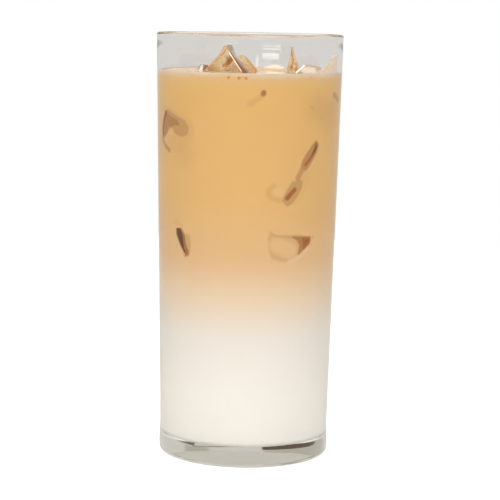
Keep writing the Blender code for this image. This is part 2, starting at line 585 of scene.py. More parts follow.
@dataclass
class HighballGlass:
    """A plain highball tumbler: a slight taper, a heavy foot that swells, a fire-polished rim."""

    height: float = 0.1500
    rim_radius: float = 0.0330
    foot_radius: float = 0.0300
    rim_wall: float = 0.0016
    foot_wall: float = 0.0022
    foot_swell: float = 0.0004
    foot_swell_height: float = 0.0032
    foot_swell_spread: float = 0.0040
    floor_height: float = 0.0072
    floor_corner: float = 0.0015
    heel: float = 0.0018
    hollow_radius: float = 0.0220
    hollow_depth: float = 0.0009
    bead_neck: float = 0.00012
    bead_height: float = 0.0030
    swell_spreads: float = 2.6
    bead_heights: float = 2.2
    segments: int = 256
    corner_steps: int = 8
    rim_steps: int = 12
    swell_rings: int = 12
    neck_rings: int = 10
    wall_step: float = 0.0040

    def tapered(self, at_foot: float, at_rim: float, height: float) -> float:
        """A size that changes evenly from the table to the rim."""
        return at_foot + (at_rim - at_foot) * height / self.height

    def outer_radius(self, height: float) -> float:
        """The outer wall's radius, with the foot's swelling and the neck under the rim.

        Args:
            height: The height that it is wanted at.

        Returns:
            The radius.
        """
        swell = math.exp(-(((height - self.foot_swell_height) / self.foot_swell_spread) ** 2))
        neck = math.exp(-(((height - self.height + self.bead_height) / (self.bead_height / 2)) ** 2))
        straight = self.tapered(self.foot_radius, self.rim_radius, height)
        return straight + self.foot_swell * swell - self.bead_neck * neck

    def inner_radius(self, height: float) -> float:
        """The inner wall's radius at a height."""
        return self.tapered(self.foot_radius - self.foot_wall, self.rim_radius - self.rim_wall, height)

    def floor_profile(self, reach: float = 0.0) -> Profile:
        """The rounded corner between the inner wall and the floor, from the wall down to the middle.

        Args:
            reach: How far into the glass the profile lies.

        Returns:
            The corner's arc and three rings on the floor.
        """
        corner_height = self.floor_height + self.floor_corner
        centre = (self.inner_radius(corner_height) - self.floor_corner, corner_height)
        points = arc(centre, self.floor_corner + reach, 0, -90, self.corner_steps)
        bottom = self.floor_height - reach
        return points + [(centre[0] * share, bottom) for share in (0.75, 0.4, 0.1)]

    def profile(self) -> Profile:
        """From the middle of the underside out, up the outside, over the rim and down the inside.

        Returns:
            The rings' radii and heights.
        """
        points = []
        for share in (0.05, 0.25, 0.5, 0.75, 0.93, 1.0):
            points.append((self.hollow_radius * share, self.hollow_depth * (1 - share**2)))
        heel_centre = (self.outer_radius(self.heel) - self.heel, self.heel)
        points += arc(heel_centre, self.heel, -90, 0, self.corner_steps)
        swell_top = self.foot_swell_height + self.swell_spreads * self.foot_swell_spread
        neck_foot = self.height - self.bead_heights * self.bead_height
        lip = self.rim_wall / 2
        top = self.height - lip
        outside = between(self.heel, swell_top, self.swell_rings)
        outside += between(swell_top, neck_foot, round((neck_foot - swell_top) / self.wall_step))
        outside += between(neck_foot, top, self.neck_rings)[:-1]
        points += [(self.outer_radius(height), height) for height in outside]
        points += arc((self.rim_radius - lip, top), lip, 0, 180, self.rim_steps)
        steps = round((self.height - self.floor_height) / self.wall_step)
        inside = between(top, self.floor_height + self.floor_corner, steps)[:-1]
        points += [(self.inner_radius(height), height) for height in inside]
        return points + self.floor_profile()

    def build(self) -> bpy.types.Object:
        """Turn the glass and dress it.

        Returns:
            The finished piece.
        """
        item = turned("highball_glass", self.profile(), self.segments)
        item.data.materials.append(SodaLimeGlass().material())
        finish_piece(item, Slot.GLASS, "glass", edge_deg=EDGE_DEG)
        return item


@dataclass(frozen=True)
class IceMark:
    """A soft line or patch: painted shade of ice under the drink's skin, a tint on floating ice, or a veil on the
    wall.

    The path holds places across and heights in millimetres. Across is a bearing in degrees on the
    drink's side, and X in millimetres on floating ice. A patch is filled inside its path. A depth of 1
    is the darkest brown, and one below 0 is paler than its surroundings.
    """

    path: tuple[tuple[float, float], ...]
    half_width_mm: float
    depth: float
    soft_mm: float
    filled: bool = False

    def distance(self, along_mm: np.ndarray, height_mm: np.ndarray, mm_per_unit: float) -> np.ndarray:
        """How far points lie from the line, in millimetres; inside a patch it is 0.

        Args:
            along_mm: The points' places across.
            height_mm: Their heights.
            mm_per_unit: What one unit of the path's places across measures.

        Returns:
            One distance for each point.
        """
        corners = [(across * mm_per_unit, height) for across, height in self.path]
        ends = corners[1:] + corners[:1] if self.filled else corners[1:]
        nearest = np.full(along_mm.shape, FAR_MM)
        inside = np.zeros(along_mm.shape, dtype=bool)
        for (start_x, start_z), (end_x, end_z) in zip(corners, ends):
            leg_x, leg_z = end_x - start_x, end_z - start_z
            share = ((along_mm - start_x) * leg_x + (height_mm - start_z) * leg_z) / (leg_x**2 + leg_z**2)
            share = np.clip(share, 0.0, 1.0)
            gap = np.hypot(along_mm - start_x - share * leg_x, height_mm - start_z - share * leg_z)
            nearest = np.minimum(nearest, gap)
            if self.filled and leg_z:
                crosses = (start_z > height_mm) != (end_z > height_mm)
                inside ^= crosses & (along_mm < start_x + (height_mm - start_z) * leg_x / leg_z)
        return np.where(inside, 0.0, nearest)

    def shade(self, along_mm: np.ndarray, height_mm: np.ndarray, mm_per_unit: float) -> np.ndarray:
        """How much the mark darkens each point; the arguments are those of distance."""
        past = self.distance(along_mm, height_mm, mm_per_unit) - self.half_width_mm
        return self.depth * smooth_step(1.0 - past / self.soft_mm)


def line(half_width_mm: float, depth: float, soft_mm: float, *path: tuple[float, float]) -> IceMark:
    """A soft line along a path."""
    return IceMark(path, half_width_mm, depth, soft_mm)


def patch(half_width_mm: float, depth: float, soft_mm: float, *path: tuple[float, float]) -> IceMark:
    """A soft patch that fills its path and reaches half a width beyond it."""
    return IceMark(path, half_width_mm, depth, soft_mm, filled=True)


def combined_shade(
    marks: tuple[IceMark, ...], along_mm: np.ndarray, height_mm: np.ndarray, mm_per_unit: float
) -> np.ndarray:
    """Lay marks over one another: the darkest counts, and the palest is added to it.

    Args:
        marks: The marks.
        along_mm: The points' places across.
        height_mm: Their heights.
        mm_per_unit: What one unit of the paths' places across measures.

    Returns:
        One shade for each point.
    """
    shades = np.array([mark.shade(along_mm, height_mm, mm_per_unit) for mark in marks])
    return np.maximum(shades.max(axis=0), 0.0) + np.minimum(shades.min(axis=0), 0.0)


# Each mark gives its half width, depth and softness, and then its path
# Painted shade on the drink's side: no ice is built against the glass; where it leans there, its dark shade and a few
# paler patches are painted on
ICE_SHADE_MARKS = (
    # Upper left: a cube's corner leans on the glass, painted as dark shade along its edges and a veiled face
    line(0.45, 0.80, 1.0, (-64.6, 122.2), (-67.0, 120.2), (-68.6, 117.9), (-69.4, 115.7), (-69.1, 114.8)),
    line(0.3, 0.52, 1.1, (-69.4, 114.7), (-69.8, 113.1), (-67.9, 111.6), (-65.0, 110.5), (-60.4, 109.4)),
    patch(0.0, 0.60, 0.9, (-63.7, 123.0), (-61.2, 121.5), (-51.3, 120.0), (-49.5, 118.6), (-55.0, 118.4),
          (-60.1, 117.0), (-64.9, 114.9), (-69.1, 113.5), (-70.7, 116.0), (-68.9, 119.2)),
    patch(0.0, 0.42, 1.0, (-61.8, 123.2), (-51.3, 121.1), (-44.4, 119.9), (-41.3, 118.0), (-42.1, 115.7),
          (-46.9, 114.8), (-51.4, 115.4), (-55.1, 116.5), (-55.0, 118.3), (-61.9, 119.8)),
    patch(0.0, 0.16, 2.0, (-68.7, 123.7), (-58.3, 123.7), (-48.6, 121.5), (-39.8, 119.9), (-37.6, 117.1),
          (-39.0, 114.0), (-48.7, 113.6), (-56.3, 114.9)),
    line(0.5, -0.22, 1.2, (-60.0, 116.4), (-57.5, 115.8)),
    patch(0.0, 0.13, 2.5, (-63.3, 114.0), (-51.4, 112.6), (-41.3, 112.3), (-44.5, 108.5), (-51.5, 108.2),
          (-60.9, 110.3)),
    line(1.5, 0.15, 8.0, (-50.0, 118.0), (-45.0, 109.0)),

    # Lower left: one edge touches the glass, painted as a thin sliver of dark shade
    patch(0.1, 1.0, 0.5, (-51.9, 82.3), (-49.2, 82.4), (-47.6, 81.3), (-46.5, 79.8), (-46.1, 77.7),
          (-45.3, 75.9), (-43.5, 74.3), (-45.3, 75.1), (-47.4, 76.7), (-49.5, 78.6), (-51.6, 80.4)),
    line(0.3, 0.72, 0.8, (-48.1, 82.2), (-45.2, 80.1), (-44.5, 77.7), (-43.2, 75.9), (-41.8, 74.4)),
    line(0.25, 0.66, 0.6, (-41.8, 75.4), (-42.1, 73.8), (-43.5, 73.6)),
    line(0.1, 0.55, 0.5, (-52.7, 82.2), (-52.2, 80.3), (-49.8, 78.1), (-47.2, 76.0)),
    patch(0.0, 0.30, 1.0, (-49.1, 81.3), (-40.7, 80.4), (-39.9, 77.3), (-40.8, 74.1), (-44.3, 73.2)),
    line(0.4, 0.14, 1.6, (-53.2, 84.9), (-48.1, 83.8)),

    # Right: a long edge leans on the glass and leaves it again, beside a dimple
    patch(0.0, 0.54, 0.8, (47.6, 113.7), (49.9, 112.6), (48.5, 110.2), (46.1, 108.4), (42.6, 105.8),
          (39.5, 104.0), (36.0, 104.8), (36.7, 106.3), (37.9, 107.8), (40.3, 109.6), (44.8, 112.3)),
    line(0.35, 0.75, 0.9, (48.1, 113.0), (46.4, 110.4), (43.5, 108.1), (39.3, 105.9)),
    line(0.12, 1.0, 0.5, (48.8, 112.1), (47.5, 110.8), (45.1, 109.5)),
    line(0.5, 0.46, 1.1, (37.5, 104.8), (36.4, 103.8), (33.7, 101.5), (34.3, 100.0)),
    patch(0.0, 0.42, 1.2, (30.1, 99.8), (27.1, 97.5), (25.0, 95.4), (23.5, 93.8), (26.7, 92.3), (29.8, 93.2),
          (32.9, 95.2), (35.7, 97.7), (36.7, 100.1)),
    line(0.45, 0.76, 1.2, (31.4, 97.4), (26.2, 94.6)),
    line(0.4, 0.19, 1.6, (16.8, 98.8), (13.6, 97.6), (13.4, 96.2), (15.4, 95.0), (20.9, 93.9)),
    line(0.8, -0.20, 1.4, (19.5, 96.7), (20.5, 96.7)),
    line(1.2, 0.12, 3.5, (38.5, 101.5), (33.0, 95.0)),

    # Lower right: a cube's face against the glass, pale in the middle, with one corner in painted dark shade
    patch(0.0, 0.22, 0.7, (15.1, 83.1), (19.3, 81.6), (30.5, 81.3), (48.7, 80.6), (45.9, 79.1), (38.7, 75.8),
          (35.9, 74.7), (32.0, 73.6), (27.1, 72.9), (22.6, 73.2), (17.6, 74.2), (15.7, 76.5)),
    line(0.2, 0.30, 0.9, (16.1, 82.3), (19.3, 81.4), (30.5, 81.1), (38.0, 81.0)),
    line(0.3, 0.25, 1.3, (15.4, 81.0), (15.9, 76.5), (17.8, 74.5), (22.6, 73.5), (27.1, 73.2), (32.0, 73.9)),
    line(1.2, -0.20, 2.6, (20.0, 78.4), (29.0, 76.4)),
    patch(0.0, 0.62, 0.6, (30.5, 81.1), (45.7, 80.6), (45.5, 79.2), (38.7, 75.8), (35.9, 74.7), (37.0, 78.1),
          (34.7, 80.0)),
    patch(0.0, 0.75, 0.7, (38.8, 80.5), (45.4, 80.2), (45.1, 78.5), (40.0, 76.4)),
    line(0.1, 0.98, 0.5, (42.2, 79.6), (42.5, 79.3)),
    line(0.2, -0.45, 1.1, (29.7, 72.5), (37.3, 74.0), (44.2, 76.6)),

    # Near the surface: a corner's dot with its trail, and a cube far round to the right
    line(0.5, 0.68, 0.9, (8.9, 130.6), (8.7, 130.2)),
    line(0.4, 0.20, 1.6, (7.4, 129.3), (0.6, 126.7)),
    line(0.5, 0.46, 1.2, (66.9, 129.4), (71.5, 128.5), (75.4, 127.1)),
    line(1.5, 0.17, 9.0, (48.0, 125.0), (60.0, 123.0), (68.0, 124.0)),
    line(0.1, 0.26, 0.9, (41.6, 125.9), (44.6, 124.6)),
    line(0.1, 0.24, 0.9, (50.6, 122.3), (53.7, 121.0)),

    # Out of the viewer's sight: the same kinds of edge, corner and face round the back
    line(0.6, 0.74, 1.1, (104.0, 111.0), (109.5, 107.5), (113.0, 101.0)),
    patch(0.0, 0.26, 2.6, (96.0, 112.5), (104.0, 111.0), (113.0, 101.0), (101.0, 98.0)),
    line(0.5, 0.92, 0.8, (128.0, 88.0), (133.0, 82.5)),
    line(0.7, 0.34, 2.2, (126.0, 89.5), (134.5, 81.5)),
    patch(0.0, 0.30, 2.4, (150.0, 124.5), (158.0, 121.5), (163.0, 115.0), (155.0, 113.0)),
    line(0.4, 0.82, 0.9, (158.0, 121.5), (163.0, 115.0)),
    line(0.8, 0.66, 1.2, (-168.0, 96.0), (-160.0, 93.5), (-154.5, 96.5)),
    line(0.7, 0.74, 1.2, (-130.0, 119.0), (-124.5, 113.0), (-119.0, 109.5)),
    patch(0.0, 0.24, 1.8, (-138.0, 117.0), (-130.0, 119.0), (-119.0, 109.5), (-127.0, 106.0)),
    line(0.5, 0.60, 1.2, (-103.0, 91.0), (-98.0, 87.5), (-100.5, 83.5)),
    patch(0.0, 0.36, 1.0, (-146.0, 80.5), (-137.0, 79.5), (-136.0, 75.0), (-143.0, 73.5)),
)

# Latte that has run down the inner wall: a fan to the right, a low smear to the left and one behind
WALL_VEILS = (
    patch(0.0, 0.95, 1.3, (44.0, 136.0), (54.0, 138.2), (64.0, 142.6), (74.0, 143.2), (84.0, 141.6),
          (96.0, 137.5), (100.0, 135.5)),
    patch(0.0, 0.8, 1.2, (-84.0, 135.5), (-66.0, 136.2), (-52.0, 137.4), (-38.0, 137.3), (-30.0, 136.0)),
    patch(0.0, 0.6, 1.0, (150.0, 135.5), (162.0, 137.6), (172.0, 136.0)),
)

# Tints on the ice above the surface, laid on each lump's front: coffee film in part, painted refraction of the drink
# in part; places across are X here
PEAK_TINTS = (
    patch(0.0, 0.40, 0.7, (-17.0, 135.0), (-8.6, 145.5), (-6.4, 143.0), (-12.3, 135.0)),
    patch(0.0, 1.15, 0.5, (-9.9, 138.4), (-7.0, 141.7), (-5.9, 141.0), (-8.4, 138.0)),
    line(0.4, 0.60, 1.2, (-12.5, 137.0), (-10.0, 135.5)),
    patch(0.0, 1.30, 0.5, (-8.2, 145.2), (-6.4, 144.6), (1.2, 136.0), (-1.6, 135.4), (-7.3, 143.4)),
    # A painted highlight: a thin white line beside the peak's front edge
    line(0.05, -0.35, 0.5, (-5.4, 142.2), (-1.4, 137.6)),
)
BEHIND_TINTS = (
    patch(0.0, 0.34, 0.5, (-6.0, 142.5), (-1.0, 142.5), (5.0, 134.0), (-6.0, 134.0)),
    line(0.3, 0.60, 0.7, (-1.2, 140.6), (2.4, 136.0)),
)
CHIP_TINTS = (
    patch(0.0, 1.30, 0.4, (-17.0, 138.4), (-12.0, 138.4), (-12.0, 134.0), (-17.4, 134.0)),
    patch(0.2, -0.75, 0.5, (-19.4, 136.2), (-17.6, 138.0), (-17.5, 135.5)),
)
SHARD_TINTS = (
    patch(0.0, 0.30, 0.5, (15.1, 144.5), (12.0, 134.0), (19.0, 134.0)),
    line(0.15, 0.85, 0.6, (15.2, 143.0), (15.6, 139.6), (14.6, 136.4)),
    line(0.1, 0.75, 0.6, (16.6, 139.4), (17.0, 136.4)),
)
BLOCK_TINTS = (
    line(0.3, 0.50, 1.0, (16.0, 136.0), (17.6, 138.6)),
    line(0.9, -0.30, 1.2, (19.5, 137.4), (23.5, 137.2)),
    line(0.1, 0.34, 0.8, (21.0, 139.4), (25.0, 138.0)),
)


@dataclass
class Latte:
    """The drink: one body of liquid that wets the glass all over and closes round the ice."""

    glass: HighballGlass
    level: float = 0.1361
    meniscus_height: float = 0.0009
    meniscus_width: float = 0.0020
    ring_step: float = 0.0009
    segments: int = 288
    unrolled_at: float = 0.75
    crisp_below_mm: float = 2.0
    mark_margin_mm: float = 1.5
    surface_slack: float = 0.0001
    surface_facing: float = 0.3

    def skin_radius(self, height: float) -> float:
        """The drink's radius at a height: it reaches just into the glass."""
        return self.glass.inner_radius(height) + FILM_REACH

    def profile(self) -> Profile:
        """From the middle of the surface out, over the meniscus, down the side and in to the middle.

        Returns:
            The rings' radii and heights.
        """
        edge_height = self.level + self.meniscus_height
        edge_radius = self.skin_radius(edge_height)
        points = [(edge_radius * share, self.level) for share in (0.1, 0.35, 0.6, 0.8)]
        for share in (0.0, 0.35, 0.6, 0.8, 0.92, 1.0):
            rise = self.meniscus_height * share**3
            points.append((edge_radius - self.meniscus_width * (1 - share), self.level + rise))
        low = self.glass.floor_height + self.glass.floor_corner
        side = between(edge_height, low, round((edge_height - low) / self.ring_step))[:-1]
        points += [(self.skin_radius(height), height) for height in side]
        return points + self.glass.floor_profile(FILM_REACH)

    def make_room(self, drink: bpy.types.Object, rooms: list[bpy.types.Object]) -> None:
        """Cut the ice's room out of the drink, a little short of the ice so that it stays wet.

        Args:
            drink: The drink's body.
            rooms: Plain copies of the ice that breaks the surface, which are used up.
        """
        cutters = bpy.data.collections.new("ice_room")
        bpy.context.scene.collection.children.link(cutters)
        for room in rooms:
            bpy.context.scene.collection.objects.unlink(room)
            cutters.objects.link(room)
            with editing(room):
                bpy.ops.mesh.select_all(action="SELECT")
                bpy.ops.transform.shrink_fatten(value=-FILM_REACH)
        apply_modifier(drink, "BOOLEAN", operation="DIFFERENCE", operand_type="COLLECTION",
                       collection=cutters, solver="EXACT")
        for room in rooms:
            bpy.data.objects.remove(room)
        bpy.data.collections.remove(cutters)

    def on_side(self, points: np.ndarray) -> np.ndarray:
        """Which points, given in millimetres, lie at the drink's side."""
        return np.hypot(points[:, 0], points[:, 1]) > self.skin_radius(0.0) / MM

    def refine(self, drink: bpy.types.Object) -> None:
        """Divide the side's faces where the ice's shade is painted, so that the marks stay crisp.

        Args:
            drink: The drink's body.
        """
        middles = read_mm(drink.data.polygons, "center")
        flat = unroll(middles, self.skin_radius(self.level * self.unrolled_at))
        near = np.zeros(len(middles), dtype=bool)
        for mark in ICE_SHADE_MARKS:
            if mark.soft_mm < self.crisp_below_mm:
                near |= mark.distance(*flat) < mark.half_width_mm + self.mark_margin_mm
        select_faces(drink, near & self.on_side(middles))
        with editing(drink, "FACE"):
            bpy.ops.mesh.subdivide(number_cuts=2, smoothness=0.0)

    def paint_shade_of_ice(self, drink: bpy.types.Object) -> None:
        """Write the painted shade of the ice at each point of the side, for the drink's material to read.

        Args:
            drink: The drink's body.
        """
        points = read_mm(drink.data.vertices, "co")
        shade = combined_shade(ICE_SHADE_MARKS, *unroll(points, self.skin_radius(self.level * self.unrolled_at)))
        write_values(drink, "ice_shade", np.where(self.on_side(points), shade, 0.0))

    def build(self, rooms: list[bpy.types.Object]) -> bpy.types.Object:
        """Turn the drink, make room for the ice, paint the ice's shade on its side and dress it.

        Args:
            rooms: Plain copies of the ice that breaks the surface.

        Returns:
            The finished piece.
        """
        drink = turned("latte", self.profile(), self.segments)
        still = LattePalette(surface="#B9A07E", under_surface="#B9A07E")
        drink.data.materials.append(MilkyDrink("latte, wetting the glass", 0.5, 0.0).material())
        drink.data.materials.append(MilkyDrink("latte, still surface", 0.03, 0.5, still).material())
        self.make_room(drink, rooms)
        self.refine(drink)
        self.paint_shade_of_ice(drink)
        low = self.level - self.surface_slack
        select_faces(drink, [
            face.center.z > low and face.normal.z > self.surface_facing for face in drink.data.polygons
        ])
        with editing(drink):
            drink.active_material_index = 1
            bpy.ops.object.material_slot_assign()
        finish_piece(drink, Slot.COFFEE, "milk_layer", "coffee_layer", edge_deg=EDGE_DEG)
        return drink


@dataclass
class WallFilm:
    """A veil of latte on the inner wall over the drink, higher at one side than at the others."""

    glass: HighballGlass
    low: float = 0.1358
    high: float = 0.1446
    ring_step: float = 0.00035
    off_wall: float = 0.00002
    thickness: float = 0.00008
    segments: int = 320

    def build(self) -> bpy.types.Object:
        """Turn a sleeve that lies on the wall, keep its wetted part and give it a thickness.

        Returns:
            The finished piece.
        """
        heights = [self.low, *between(self.low, self.high, round((self.high - self.low) / self.ring_step))]
        profile = [(self.glass.inner_radius(height) - self.off_wall, height) for height in heights]
        film = turned("wall_film", profile, self.segments, closed=False)
        points = read_mm(film.data.vertices, "co")
        veil = combined_shade(WALL_VEILS, *unroll(points, self.glass.inner_radius(self.low)))
        write_values(film, "veil", veil)
        select_faces(film, [all(veil[corner] <= 0.0 for corner in face.vertices) for face in film.data.polygons])
        with editing(film, "FACE"):
            bpy.ops.mesh.delete(type="FACE")
        apply_modifier(film, "SOLIDIFY", thickness=self.thickness, offset=-1.0)
        film.data.materials.append(DriedFilm().material())
        finish_piece(film, Slot.COFFEE)
        return film


@dataclass
class Bubbles:
    """Small bubbles that sit against the glass just under the surface, as bearings, heights and radii."""

    glass: HighballGlass
    bulge: float = 0.35
    flattened: float = 0.9
    segments: int = 20
    rings: int = 12
    against_glass: tuple[tuple[float, float, float], ...] = (
        (-12.9, 0.1355, 0.00056), (-6.2, 0.1354, 0.00062), (-2.2, 0.1354, 0.00060), (-4.2, 0.1359, 0.00024),
        (-15.2, 0.1359, 0.00018), (24.0, 0.1357, 0.00020), (41.0, 0.1356, 0.00026), (-38.0, 0.1357, 0.00022),
        (118.0, 0.1356, 0.00038), (122.5, 0.1357, 0.00026), (176.0, 0.1355, 0.00040), (-151.0, 0.1356, 0.00034),
    )

    def build(self) -> bpy.types.Object:
        """Press each bubble flat against the glass and join them.

        Returns:
            The finished piece.
        """
        deselect_all()
        skin = BUBBLE_SKIN.material()
        bubbles = []
        for bearing_deg, height, radius in self.against_glass:
            bearing = math.radians(bearing_deg)
            out = self.glass.inner_radius(height) + FILM_REACH
            place = (out * math.sin(bearing), -out * math.cos(bearing), height)
            bpy.ops.mesh.primitive_uv_sphere_add(
                segments=self.segments, ring_count=self.rings, radius=radius, location=place,
                rotation=(0, 0, bearing),
            )
            bubble = bpy.context.object
            bubble.scale = (1.0, self.bulge, self.flattened)
            bpy.ops.object.transform_apply(location=True, rotation=True, scale=True)
            bubble.data.materials.append(skin)
            bubbles.append(bubble)
        pick(*bubbles)
        bpy.ops.object.join()
        item = bpy.context.object
        item.name = item.data.name = "bubbles"
        bpy.ops.object.transform_apply(location=True, rotation=True, scale=True)
        finish_piece(item, Slot.COFFEE)
        return item


@dataclass(frozen=True)
class Lump:
    """One packed lump of ice: how finely its faces are divided, its thinnest tint and its marks."""

    node: str
    cuts: int
    film: float
    marks: tuple[IceMark, ...]


@dataclass
class FloatingIce:
    """The lumps of ice that break the surface, with melted edges, and coffee and a painted refraction of the drink on
    their fronts.
    """

    lumps: tuple[Lump, ...] = (
        Lump("ice_peak", 5, 0.05, PEAK_TINTS),
        Lump("ice_behind", 2, 0.20, BEHIND_TINTS),
        Lump("ice_left_chip", 2, 0.20, CHIP_TINTS),
        Lump("ice_shard", 2, 0.18, SHARD_TINTS),
        Lump("ice_right_block", 2, 0.06, BLOCK_TINTS),
    )
    merge: float = 0.00001
    flat_within_deg: float = 25.0
    square_within_deg: float = 60.0
    rounding: int = 2
    dimple: float = 0.00010
    dimple_size: float = 0.0035
    film_edge_mm: float = 3.0
    rooms: list[bpy.types.Object] = field(default_factory=list)

    def keep_room(self, item: bpy.types.Object) -> None:
        """Keep a plain rounded copy of a lump, for the drink to be cut with.

        Args:
            item: The lump before its faces are divided.
        """
        room = bpy.data.objects.new("room_for_" + item.name, item.data.copy())
        room.data.materials.clear()
        bpy.context.scene.collection.objects.link(room)
        apply_modifier(room, "SUBSURF", levels=1, render_levels=1)
        self.rooms.append(room)

    def melt(self, item: bpy.types.Object, cuts: int, dimples: bpy.types.Texture) -> None:
        """Join a lump's faces to quads, round its edges and dimple it.

        Args:
            item: The lump.
            cuts: How finely its faces are divided first, which keeps its edges tight.
            dimples: The pattern of the dimples.
        """
        with editing(item):
            bpy.ops.mesh.select_all(action="SELECT")
            bpy.ops.mesh.remove_doubles(threshold=self.merge)
            bpy.ops.mesh.tris_convert_to_quads(
                face_threshold=math.radians(self.flat_within_deg),
                shape_threshold=math.radians(self.square_within_deg),
            )
            bpy.ops.mesh.normals_make_consistent(inside=False)
        self.keep_room(item)
        with editing(item):
            bpy.ops.mesh.select_all(action="SELECT")
            bpy.ops.mesh.subdivide(number_cuts=cuts)
        apply_modifier(item, "SUBSURF", levels=self.rounding, render_levels=self.rounding)
        apply_modifier(item, "DISPLACE", texture=dimples, strength=self.dimple, mid_level=0.5)

    def wet(self, item: bpy.types.Object, lump: Lump) -> None:
        """Write the tint at each point of a lump's front, coffee in part and painted refraction of the drink in part,
        for the ice's material to read.

        Args:
            item: The lump's piece.
            lump: Its film and marks.
        """
        points = read_mm(item.data.vertices, "co")
        middle = (points[:, 1].min() + points[:, 1].max()) / 2
        # Only the front is tinted: the painted refraction of the drink lies on the front alone
        in_front = smooth_step(0.5 + (middle - points[:, 1]) / self.film_edge_mm)
        shade = combined_shade(lump.marks, points[:, 0], points[:, 2], 1.0) * in_front
        write_values(item, "coffee_film", np.where(shade < 0, shade, np.maximum(shade, lump.film)))

    def build(self) -> list[bpy.types.Object]:
        """Melt each packed lump a little, tint its front with coffee and painted refraction, and dress it.

        Returns:
            The finished pieces.
        """
        ice = WetIce().material()
        dimples = bpy.data.textures.new("melted dimples", "CLOUDS")
        dimples.noise_scale = self.dimple_size
        pieces = []
        for lump in self.lumps:
            item = bpy.data.objects.new("melting_" + lump.node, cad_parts[lump.node].data.copy())
            bpy.context.scene.collection.objects.link(item)
            item.data.materials.clear()
            item.data.materials.append(ice)
            self.melt(item, lump.cuts, dimples)
            self.wet(item, lump)
            finish_piece(item, Slot.ICE, lump.node)
            pieces.append(item)
        return pieces


@dataclass
class PaintedHighlightSeam:
    """A painted highlight on an edge of the ice: a thin white wedge inside it that is narrow at both ends."""

    name: str
    start: tuple[float, float, float]
    end: tuple[float, float, float]
    width: float
    depth: float
    waist: float = 0.35
    round_share: float = 0.3
    edge_deg: float = 50.0

    def build(self) -> bpy.types.Object:
        """Stretch a block between the seam's ends, draw its ends in and round its edges.

        Returns:
            The finished piece.
        """
        start, end = Vector(self.start), Vector(self.end)
        along = end - start
        deselect_all()
        bpy.ops.mesh.primitive_cube_add(
            size=1.0, location=(start + end) / 2, rotation=along.to_track_quat("Z", "Y").to_euler(),
            scale=(self.width, self.depth, along.length),
        )
        item = bpy.context.object
        item.name = item.data.name = self.name
        bpy.ops.object.transform_apply(location=True, rotation=True, scale=True)
        for tip in (start, end):
            select_faces(item, [(face.center - tip).length < self.width for face in item.data.polygons])
            with editing(item):
                bpy.ops.transform.resize(value=(self.waist,) * 3, center_override=tip)
        apply_modifier(item, "BEVEL", width=min(self.width, self.depth) * self.round_share, segments=3)
        item.data.materials.append(PAINTED_HIGHLIGHT_WHITE.material())
        finish_piece(item, Slot.ICE, edge_deg=self.edge_deg)
        return item


@dataclass(frozen=True)
class Softbox:
    """A soft light in the surroundings: it fades from its full strength to nothing."""

    bearing_deg: float
    elevation_deg: float
    strength: float
    full_within_deg: float = 8.0
    none_beyond_deg: float = 28.0

    def direction(self) -> Vector:
        """The unit vector that points at the light.

        Returns:
            The vector.
        """
        bearing = math.radians(self.bearing_deg)
        elevation = math.radians(self.elevation_deg)
        level = math.cos(elevation)
        return Vector((level * math.sin(bearing), -level * math.cos(bearing), math.sin(elevation)))


@dataclass(frozen=True)
class Pane:
    """A four-sided piece of the surroundings; places are parts of a view direction: X across and Z up."""

    left: float
    right: float
    low: float
    high: float
    soft: float

    def cover(self, tree: Tree, across: Socket, up: Socket) -> Socket:
        """Nodes that give 1 inside the pane and fade to 0 round it.

        Args:
            tree: The node tree.
            across: The direction's part across.
            up: Its part upwards.

        Returns:
            The output socket.
        """
        shares = []
        for value, low, high, soft in (
            (up, self.low, self.high, self.soft), (across, self.left, self.right, SIDE_FADE * self.soft),
        ):
            for outer, inner in ((low - soft, low), (high + soft, high)):
                shares.append(add_node(tree, "MapRange", {"interpolation_type": "SMOOTHSTEP"}, {
                    "Value": value, "From Min": outer, "From Max": inner,
                }))
        total = shares[0]
        for share in shares[1:]:
            total = add_node(tree, "Math", {"operation": "MULTIPLY"}, {0: total, 1: share})
        return total


@dataclass(frozen=True)
class Card(Pane):
    """A card behind the glass that only its heavy foot and the ice bend into view."""

    slope: float
    colour: str
    opacity: float


@dataclass(frozen=True)
class StripLight(Pane):
    """A small bright window in front, which the glass mirrors near its rim."""

    strength: float


